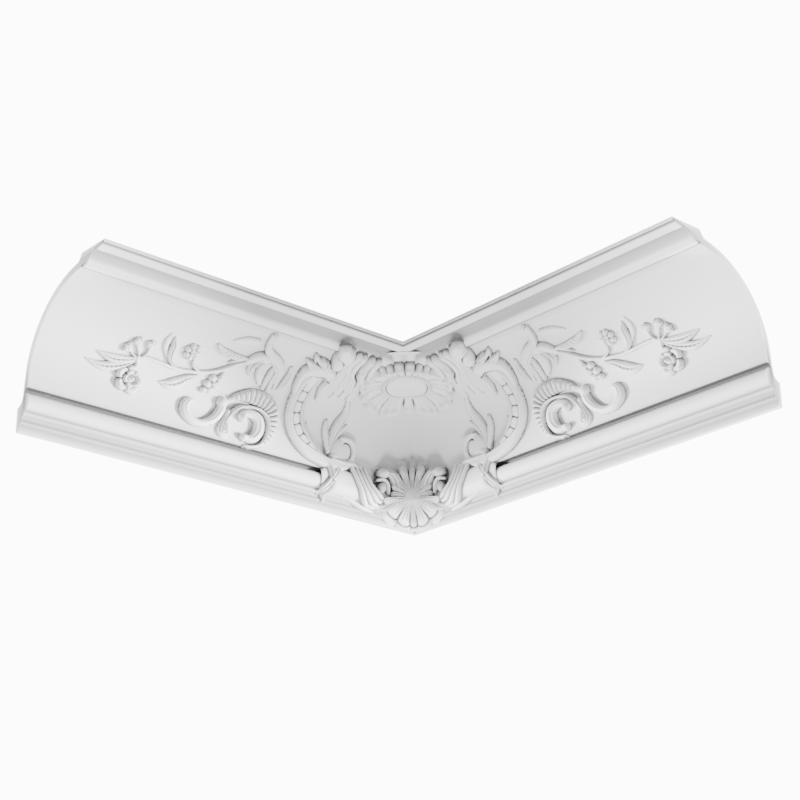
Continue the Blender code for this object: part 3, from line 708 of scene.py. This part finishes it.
def palmette_height(reach, angle):
    """The palmette: a bulging shell with flutes from its boss, round-ended lobes above, and broad petals
    below."""
    x, length, knobbed = petal_ring(angle, PALMETTE_PETALS)
    rim = length * (1 - 0.13 * np.abs(x) ** 2.4)
    inner = reach / rim
    swell = 11.6 * np.clip(1 - (inner / 1.05) ** 2, 0, 1) ** 0.42
    groove = -2.6 * bell((np.abs(x) - 1) / 0.2) * smooth_step(0.42, 0.85, inner)
    knob = 2.4 * knobbed * bell((inner - 0.78) / 0.14) * np.clip(1 - x * x, 0, 1)
    fluted_part = smooth_step(0.2, 0.4, inner) * (1 - smooth_step(0.8, 0.95, inner))
    flute = 0.55 * np.cos(x * math.pi * 3) * fluted_part
    star_part = smooth_step(0.1, 0.25, reach) * (1 - smooth_step(0.42, 0.55, reach))
    star = 0.45 * np.cos(22 * angle) * star_part
    boss = 1.5 * bell(reach / 0.3)
    relief = np.maximum(swell + groove + knob + flute + star + boss, 0.4)
    return np.where(inner < 1, relief, -20 * (inner - 1))


def polar_piece(name, surface, middle, reaches, height, rings, spokes):
    """A disc on a mitre chart: reach goes from 0 at the middle to a little past the rim, and the angle is
    counted from the foot."""
    reach = np.linspace(0.0, 1.0, rings) ** 0.85 * DISC_OVERRUN
    angle = np.linspace(-math.pi, math.pi, spokes, endpoint=False)
    reach, angle = np.meshgrid(reach, angle, indexing="ij")
    aside = reaches[0] * reach * np.sin(angle)
    rise = middle - np.where(np.cos(angle) > 0, reaches[1], reaches[2]) * reach * np.cos(angle)
    tall = np.maximum(height(reach, angle), -DISC_SKIRT)
    points = surface(aside, rise, tall).reshape(-1, 3)
    index = np.arange(rings * spokes).reshape(rings, spokes)
    after = np.roll(index, -1, axis=1)
    quads = np.stack((index[:-1], after[:-1], after[1:], index[1:]), -1)[1:].reshape(-1, 4)
    # The middle ring is drawn together at one point, so its cells are triangles
    fan = np.stack((np.zeros(spokes, int), after[1], index[1]), -1)
    # Painted shade: well under the ground the skirt gets none, so that only the rim itself is painted darker
    shade = np.where(tall < -1.5, 1.0, painted_shade_openness(tall))
    return make_mesh(name, points, quads.tolist() + fan.tolist(), shade.reshape(-1))


def make_mesh(name, points, faces, shade):
    """A smooth mesh with how open each place lies kept as the attribute painted_shade_openness, which the
    finish uses to paint shade into the colour.
    """
    mesh = bpy.data.meshes.new(name)
    mesh.from_pydata(points, [], faces)
    layer = mesh.attributes.new("painted_shade_openness", "FLOAT", "POINT")
    layer.data.foreach_set("value", np.ascontiguousarray(shade, dtype=np.float32))
    mesh.shade_smooth()
    mesh.validate()
    mesh.update()
    return mesh


def new_object(name, data):
    """An object for the data, linked to the scene."""
    item = bpy.data.objects.new(name, data)
    bpy.context.scene.collection.objects.link(item)
    return item


def finish_piece(mesh):
    """Makes the mesh a piece of its name, gives it the finish and lets it stand for the solid."""
    mesh.materials.append(finish())
    piece = new_object(mesh.name, mesh)
    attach(piece, BODY)
    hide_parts(NODE)


class Socket:
    """A value in a shader, so that its maths reads as Python. Each sign adds one Math node."""

    def __init__(self, tree, link):
        self.tree = tree
        self.link = link

    def math(self, operation, first, second):
        node = self.tree.nodes.new("ShaderNodeMath")
        node.operation = operation
        for slot, value in zip(node.inputs, (first, second)):
            if isinstance(value, Socket):
                self.tree.links.new(value.link, slot)
            else:
                slot.default_value = value
        return Socket(self.tree, node.outputs[0])

    def __add__(self, other):
        return self.math("ADD", self, other)

    def __sub__(self, other):
        return self.math("SUBTRACT", self, other)

    def __rsub__(self, other):
        return self.math("SUBTRACT", other, self)

    def __mul__(self, other):
        return self.math("MULTIPLY", self, other)

    __radd__ = __add__
    __rmul__ = __mul__


class Shader:
    """A material's nodes, added one at a time."""

    def __init__(self, name):
        self.material = bpy.data.materials.new(name)
        self.material.use_nodes = True
        self.tree = self.material.node_tree
        self.surface = self.tree.nodes["Principled BSDF"]

    def node(self, kind, settings=None, output=0, **values):
        """One node: its settings first, then the values or links of its sockets by name."""
        node = self.tree.nodes.new(kind)
        for key, value in (settings or {}).items():
            setattr(node, key, value)
        for key, value in values.items():
            slot = node.inputs[key.replace("_", " ")]
            if isinstance(value, Socket):
                self.tree.links.new(value.link, slot)
            else:
                slot.default_value = value
        return Socket(self.tree, node.outputs[output])

    def feed(self, name, value):
        """Feeds one socket of the surface."""
        self.tree.links.new(value.link, self.surface.inputs[name])


def primed_white(settings):
    """Matte primer on a moulded casting: a fine spray texture, a soft mottle, and painted shade, a darker
    colour where the attribute painted_shade_openness says that a groove of the relief is shut in."""
    shader = Shader("primed_white")
    place = shader.node("ShaderNodeTexCoord", output=3)
    spray = shader.node("ShaderNodeTexNoise", Vector=place, Scale=1400.0, Detail=2.0, Roughness=0.5)
    mottle = shader.node("ShaderNodeTexNoise", Vector=place, Scale=26.0, Detail=3.0, Roughness=0.55)
    # Painted shade: the colour darkens in grooves and at the feet of forms, where shade falls
    relief = shader.node("ShaderNodeAttribute", {"attribute_name": "painted_shade_openness"}, output=2)
    tone = relief * 0.97 + mottle * 0.03
    colour = shader.node("ShaderNodeMix", {"data_type": "RGBA"}, output=2)
    mix = colour.link.node
    mix.inputs[6].default_value = (*[c * settings.painted_shade_tone for c in settings.finish_colour], 1.0)
    mix.inputs[7].default_value = (*settings.finish_colour, 1.0)
    shader.tree.links.new(tone.link, mix.inputs[0])
    shader.feed("Base Color", colour)
    shader.feed("Roughness", mottle * 0.12 + (settings.roughness - 0.06))
    bump = shader.node("ShaderNodeBump", Height=spray, Strength=0.12, Distance=0.0001)
    shader.feed("Normal", bump)
    shader.surface.inputs["Specular IOR Level"].default_value = 0.35
    return shader.material


def finish():
    """The one finish of the casting, made once."""
    made = bpy.data.materials.get("primed_white_painted_shade_finish")
    if made is None:
        made = primed_white(bpy.context.scene.cornice_settings)
        made.name = "primed_white_painted_shade_finish"
    return made


class CorniceSettings(bpy.types.PropertyGroup):
    """What a user would change."""
    finish_colour: bpy.props.FloatVectorProperty(
        name="Finish colour", description="Colour of the primed casting", subtype="COLOR", size=3,
        default=(0.66, 0.66, 0.66), min=0, max=1)
    # Painted shade: how much of the colour is left where shade is painted into the hollows
    painted_shade_tone: bpy.props.FloatProperty(
        name="Painted shade tone", description="How much of the colour is left in the hollows", default=0.12,
        min=0, max=1, subtype="FACTOR")
    roughness: bpy.props.FloatProperty(
        name="Roughness", description="Roughness of the primer", default=0.55, min=0.1, max=1,
        subtype="FACTOR")
    floor_drop: bpy.props.FloatProperty(
        name="Floor drop", description="How far the floor lies under the ceiling", default=1.35, min=0.3,
        unit="LENGTH")


class CORNICE_OT_moulding(bpy.types.Operator):
    """Sweep the section along both arms and close it at the cut ends"""
    bl_idname = "cornice.moulding"
    bl_label = "Moulding"

    def execute(self, context):
        outline = section()
        out, z = outline.T
        rows = np.stack([on_arm("left", ARM_LENGTH, out, z), on_arm("left", out, out, z),
                         on_arm("right", ARM_LENGTH, out, z)])
        count = len(outline)
        index = np.arange(3 * count).reshape(3, count)
        after = np.roll(index, -1, axis=1)
        quads = np.stack((index[:-1], index[1:], after[1:], after[:-1]), -1).reshape(-1, 4)
        faces = quads.tolist() + [index[0].tolist(), index[2][::-1].tolist()]
        # Painted shade: how shut in each place of the section lies, by which the finish darkens the colour
        mesh = make_mesh("moulding", rows.reshape(-1, 3), faces, np.tile(section_painted_shade(outline), 3))
        mesh.set_sharp_from_angle(angle=SHARP_ANGLE)
        finish_piece(mesh)
        return {"FINISHED"}


class CORNICE_OT_cove_relief(bpy.types.Operator):
    """Cut the scrolls, the fan and the spray into the cove of each arm"""
    bl_idname = "cornice.cove_relief"
    bl_label = "Cove relief"

    def execute(self, context):
        scrolls = Carving(*SCROLLS_WINDOW)
        for group in (great_scroll, scroll_head, s_leaf, shell_fan):
            group(scrolls)
        flowers = Carving(*FLOWERS_WINDOW)
        for group in (s_leaf, shell_fan, small_scroll, spray):
            group(flowers)
        for side in SIDES:
            finish_piece(scrolls.mesh("scrolls_" + side, on_cove, side))
            finish_piece(flowers.mesh("flowers_" + side, on_cove, side))
        return {"FINISHED"}


class CORNICE_OT_lower_acanthus(bpy.types.Operator):
    """Cut the acanthus that wraps the roll on each arm"""
    bl_idname = "cornice.lower_acanthus"
    bl_label = "Lower acanthus"

    def execute(self, context):
        wrap = Carving(*ACANTHUS_WINDOW)
        lower_acanthus(wrap)
        for side in SIDES:
            finish_piece(wrap.mesh("acanthus_" + side, on_roll, side))
        return {"FINISHED"}


class CORNICE_OT_medallion(bpy.types.Operator):
    """Raise the medallion at the head of the mitre"""
    bl_idname = "cornice.medallion"
    bl_label = "Medallion"

    def execute(self, context):
        finish_piece(polar_piece("medallion", on_canopy, MEDALLION_MIDDLE, MEDALLION_REACH,
                                 medallion_height, 150, 620))
        return {"FINISHED"}


class CORNICE_OT_palmette(bpy.types.Operator):
    """Raise the palmette at the foot of the mitre"""
    bl_idname = "cornice.palmette"
    bl_label = "Palmette"

    def execute(self, context):
        finish_piece(polar_piece("palmette", on_foot, PALMETTE_MIDDLE, PALMETTE_REACH,
                                 palmette_height, 120, 520))
        return {"FINISHED"}


class CORNICE_OT_studio(bpy.types.Operator):
    """Lay the pale floor, hang the soft lights and set the camera at the photograph's angle"""
    bl_idname = "cornice.studio"
    bl_label = "Studio"

    def execute(self, context):
        lay_floor(-context.scene.cornice_settings.floor_drop)
        set_world()
        for light in LIGHTS:
            soft_light(*light)
        set_camera()
        return {"FINISHED"}


# The camera, fitted to the corners and edges of the cornice in the photograph
CAMERA_PLACE = (-1.0699, -1.1923, -0.6933)
CAMERA_RIGHT = (0.74994, -0.66141, -0.01073)
CAMERA_AHEAD = (0.61696, 0.69351, 0.37203)
CAMERA_LENS = 79.7
CAMERA_SHIFT = 0.0025

# Strength of the world on the camera's side and behind the cornice, and where the one turns into the
# other, as the cosine of the angle to the camera's direction
ROOM_LIGHT = 0.06
WALL_LIGHT = 12.0
ROOM_COSINE = 0.925
WALL_COSINE = 0.953

# The lights: name, place, target, size in metres and power in watts
LIGHTS = (
    ("right_side", (2.4, -1.9, -0.9), (-0.1, -0.1, -0.07), 0.5, 640),
    ("left_side", (-1.9, 2.4, -0.9), (-0.1, -0.1, -0.07), 0.5, 460),
    ("below", (-0.35, -0.35, -1.25), (0.0, 0.0, -0.07), 0.25, 20),
)
FLOOR_HALF = 4.0


def set_camera():
    """Aims a camera by its right and forward directions; up is their cross product."""
    right = Vector(CAMERA_RIGHT).normalized()
    ahead = Vector(CAMERA_AHEAD).normalized()
    up = right.cross(ahead).normalized()
    turn = Matrix((right, up, -ahead)).transposed()
    data = bpy.data.cameras.new("camera")
    data.sensor_width = 36.0
    data.lens = CAMERA_LENS
    data.shift_x = CAMERA_SHIFT
    data.clip_start = 0.05
    camera = new_object("camera", data)
    camera.matrix_world = Matrix.Translation(CAMERA_PLACE) @ turn.to_4x4()
    bpy.context.scene.camera = camera


def lay_floor(height):
    """A wide pale floor with a matte finish."""
    corners = [(x * FLOOR_HALF, y * FLOOR_HALF, height) for x, y in ((-1, -1), (1, -1), (1, 1), (-1, 1))]
    mesh = bpy.data.meshes.new("floor")
    mesh.from_pydata(corners, [], [(0, 1, 2, 3)])
    floor = new_object("floor", mesh)
    shader = Shader("floor_paint")
    shader.surface.inputs["Base Color"].default_value = (0.8, 0.8, 0.8, 1.0)
    shader.surface.inputs["Roughness"].default_value = 0.8
    mesh.materials.append(shader.material)


def set_world():
    """A white studio wall behind the cornice that falls to a dim room on the camera's side: the strength
    runs with the dot product of the direction looked in and the camera's own."""
    world = bpy.data.worlds.new("studio")
    world.use_nodes = True
    tree = world.node_tree
    background = tree.nodes["Background"]
    background.inputs["Color"].default_value = (1.0, 1.0, 1.0, 1.0)
    place = tree.nodes.new("ShaderNodeTexCoord")
    facing = tree.nodes.new("ShaderNodeVectorMath")
    facing.operation = "DOT_PRODUCT"
    facing.inputs[1].default_value = CAMERA_AHEAD
    strength = tree.nodes.new("ShaderNodeMapRange")
    strength.interpolation_type = "SMOOTHSTEP"
    for name, value in (("From Min", ROOM_COSINE), ("From Max", WALL_COSINE), ("To Min", ROOM_LIGHT),
                        ("To Max", WALL_LIGHT)):
        strength.inputs[name].default_value = value
    tree.links.new(place.outputs["Generated"], facing.inputs[0])
    tree.links.new(facing.outputs["Value"], strength.inputs["Value"])
    tree.links.new(strength.outputs["Result"], background.inputs["Strength"])
    bpy.context.scene.world = world


def soft_light(name, place, target, size, power):
    """A square area light aimed at a point."""
    data = bpy.data.lights.new(name, "AREA")
    data.size = size
    data.energy = power
    light = new_object(name, data)
    light.location = place
    light.rotation_euler = (Vector(target) - Vector(place)).to_track_quat("-Z", "Y").to_euler()


class CORNICE_PT_panel(bpy.types.Panel):
    """Lists the settings and the steps"""
    bl_idname = "CORNICE_PT_panel"
    bl_label = "Ceiling cornice"
    bl_space_type = "VIEW_3D"
    bl_region_type = "UI"
    bl_category = "Cornice"

    def draw(self, context):
        settings = context.scene.cornice_settings
        for name in settings.bl_rna.properties.keys():
            if name not in ("rna_type", "name"):
                self.layout.prop(settings, name)
        for step in STEPS:
            self.layout.operator(step.bl_idname)


STEPS = (CORNICE_OT_moulding, CORNICE_OT_cove_relief, CORNICE_OT_lower_acanthus, CORNICE_OT_medallion,
         CORNICE_OT_palmette, CORNICE_OT_studio)
CLASSES = (CorniceSettings, *STEPS, CORNICE_PT_panel)


def register():
    for item in CLASSES:
        bpy.utils.register_class(item)
    bpy.types.Scene.cornice_settings = bpy.props.PointerProperty(type=CorniceSettings)


def unregister():
    del bpy.types.Scene.cornice_settings
    for item in reversed(CLASSES):
        bpy.utils.unregister_class(item)


def main():
    register()
    bpy.ops.cornice.moulding()
    bpy.ops.cornice.cove_relief()
    bpy.ops.cornice.lower_acanthus()
    bpy.ops.cornice.medallion()
    bpy.ops.cornice.palmette()
    bpy.ops.cornice.studio()


if __name__ == "__main__":
    main()
